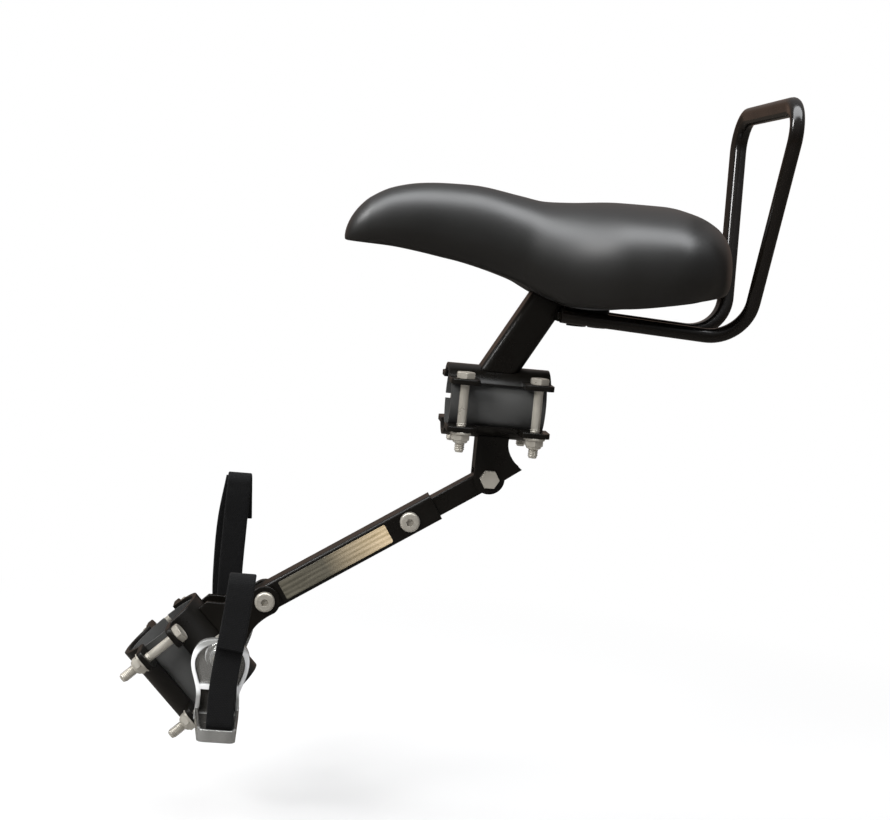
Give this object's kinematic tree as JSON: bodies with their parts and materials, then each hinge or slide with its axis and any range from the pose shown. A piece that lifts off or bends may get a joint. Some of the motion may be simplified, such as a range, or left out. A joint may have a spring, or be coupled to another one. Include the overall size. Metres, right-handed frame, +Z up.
{
  "type": "frame-mounted child bicycle seat",
  "caption": "Small padded child saddle with a rod backrest that clamps to a bicycle's top tube, with a telescopic strut to a down-tube clamp carrying strapped footrests.",
  "frame": {"origin": "centre of the top-tube clamp's bore", "axes": "+X rearwards along the top tube, +Y to the bicycle's right, +Z up"},
  "size_m": [0.3551, 0.182, 0.3977],
  "materials": {
    "saddle_skin": "satin",
    "saddle_plastic": "matte",
    "gloss_black_rod": "gloss",
    "black_paint": "satin",
    "zinc": "satin",
    "liner_rubber": "matte",
    "plated_footrest": "polished",
    "webbing": "matte"
  },
  "bodies": {
    "seat": {"saddle_cover": "saddle_skin", "saddle_base": "saddle_plastic", "saddle_bracket": "black_paint", "saddle_screws": "black_paint", "backrest_loop": "gloss_black_rod", "seat_post": "black_paint", "top_clamp_upper": "black_paint", "top_clamp_lower": "black_paint", "top_clamp_liner": "liner_rubber", "top_clamp_bolts": "zinc", "top_clamp_washers": "zinc", "top_clamp_nuts": "zinc", "strut_hanger": "black_paint", "strut_pivot_bolt": "zinc", "strut_pivot_nut": "zinc"},
    "strut_bar": {"strut_inner_bar": "black_paint"},
    "strut_tube": {"strut_outer_tube": "black_paint", "strut_lock_bolt": "zinc", "strut_lock_nut": "zinc"},
    "lower_clamp": {"bracket_cheeks": "black_paint", "lower_pivot_bolt": "zinc", "lower_pivot_nut": "zinc", "down_clamp_upper": "black_paint", "down_clamp_lower": "black_paint", "down_clamp_liner": "liner_rubber", "down_clamp_bolts": "zinc", "down_clamp_washers": "zinc", "down_clamp_nuts": "zinc", "footrest_axle": "zinc", "axle_spacers": "zinc", "axle_nuts": "zinc"},
    "left_foot": {"left_footrest": "plated_footrest", "left_strap_lower": "webbing", "left_strap_upper": "webbing", "left_strap_rivets": "zinc"},
    "right_foot": {"right_footrest": "plated_footrest", "right_strap_lower": "webbing", "right_strap_upper": "webbing", "right_strap_rivets": "zinc"}
  },
  "joints": [
    {"name": "strut_swing", "type": "hinge", "parent": "seat", "child": "strut_bar", "pos_m": [0, 0, -0.045], "axis": [0, 1, 0], "range_deg": [-35, 18]},
    {"name": "strut_telescope", "type": "slide", "parent": "strut_bar", "child": "strut_tube", "axis": [-0.8339, 0, -0.5519], "range_m": [-0.014, 0.025]},
    {"name": "lower_clamp_swing", "type": "hinge", "parent": "strut_tube", "child": "lower_clamp", "pos_m": [-0.12525, 0, -0.1279], "axis": [0, 1, 0], "range_deg": [-30, 30]},
    {"name": "left_footrest_swing", "type": "hinge", "parent": "lower_clamp", "child": "left_foot", "pos_m": [-0.1471, 0, -0.15192], "axis": [0, 1, 0], "range_deg": [-45, 45]},
    {"name": "right_footrest_swing", "type": "hinge", "parent": "lower_clamp", "child": "right_foot", "pos_m": [-0.1471, 0, -0.15192], "axis": [0, 1, 0], "range_deg": [-45, 45]}
  ]
}
